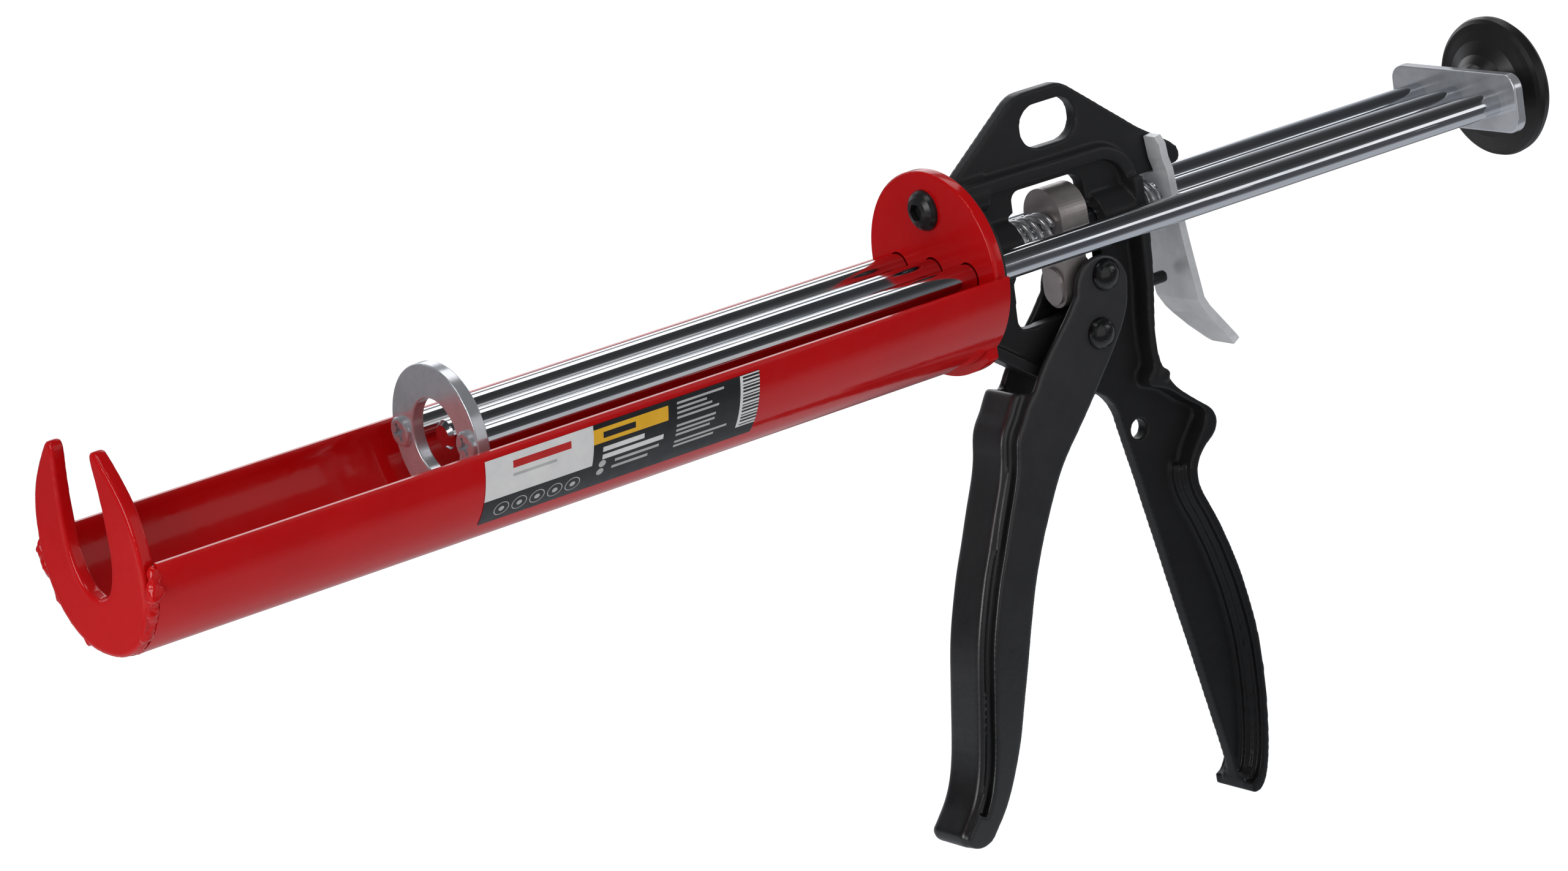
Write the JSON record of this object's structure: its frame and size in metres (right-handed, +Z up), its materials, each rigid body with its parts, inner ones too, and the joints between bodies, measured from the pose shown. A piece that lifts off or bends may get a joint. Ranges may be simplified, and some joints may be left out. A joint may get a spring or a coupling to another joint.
{
  "type": "caulking gun",
  "caption": "Hand caulking gun with an open half-round cradle, forked nose hook, three parallel push rods with a ring pusher, cast frame with fixed grip, channel trigger and rear release lever.",
  "frame": {"origin": "on the centre rod's axis, at the front face of the rear flange, where the back of a cartridge rests", "axes": "+X forward along the rods to the nose hook, +Z up, +Y to the gun's left-hand side"},
  "size_m": [0.4327, 0.0504, 0.1939],
  "materials": {
    "red_paint": "gloss",
    "black_screw": "satin",
    "black_coat": "satin",
    "chrome_rod": "polished, zinc plated",
    "zinc_plate": "zinc plated",
    "zinc_screw": "zinc plated",
    "zinc_lever": "zinc plated, satin",
    "sintered_steel": "sintered, oiled",
    "spring_wire": "bright",
    "black_plastic": "moulded",
    "black_rivet": "satin",
    "label": "printed film"
  },
  "bodies": {
    "body": {"barrel_cradle": "red_paint", "nose_hook": "red_paint", "hook_weld": "red_paint", "rear_flange": "red_paint", "flange_screws": "black_screw", "frame_casting": "black_coat", "label_sticker": "label", "drive_spring": "spring_wire", "lock_spring": "spring_wire"},
    "carriage": {"centre_rod": "chrome_rod", "outer_rod_left": "chrome_rod", "outer_rod_right": "chrome_rod", "pusher_ring_front": "zinc_plate", "pusher_ring_back": "zinc_plate", "ring_screws": "zinc_screw", "rear_yoke": "zinc_plate", "rod_nuts": "zinc_screw", "pull_knob": "black_plastic"},
    "trigger": {"trigger": "black_coat", "pivot_rivet": "black_rivet", "drive_pin": "black_rivet"},
    "drive_block": {"drive_block": "sintered_steel"},
    "release_lever": {"release_lever": "zinc_lever"}
  },
  "joints": [
    {"name": "trigger_hinge", "type": "hinge", "parent": "body", "child": "trigger", "pos_m": [-0.0428, 0, -0.0262], "axis": [0, 1, 0], "range_deg": [0, 24], "stiffness_Nm_per_rad": 0.8, "springref_deg": -17.19},
    {"name": "block_slide", "type": "slide", "parent": "body", "child": "drive_block", "axis": [1, 0, 0], "range_m": [0, 0.0061], "deforming": ["drive_spring"]},
    {"name": "carriage_slide", "type": "slide", "parent": "body", "child": "carriage", "axis": [1, 0, 0], "range_m": [-0.1395, 0.0845]},
    {"name": "lever_hinge", "type": "hinge", "parent": "body", "child": "release_lever", "pos_m": [-0.0695, 0, 0.012], "axis": [0, -1, 0], "range_deg": [0, 3], "stiffness_Nm_per_rad": 1.5, "springref_deg": -8.59, "deforming": ["lock_spring"]}
  ],
  "couplings": [
    {"joint": "block_slide", "follows": "trigger_hinge", "m_per_rad": 0.0143}
  ]
}
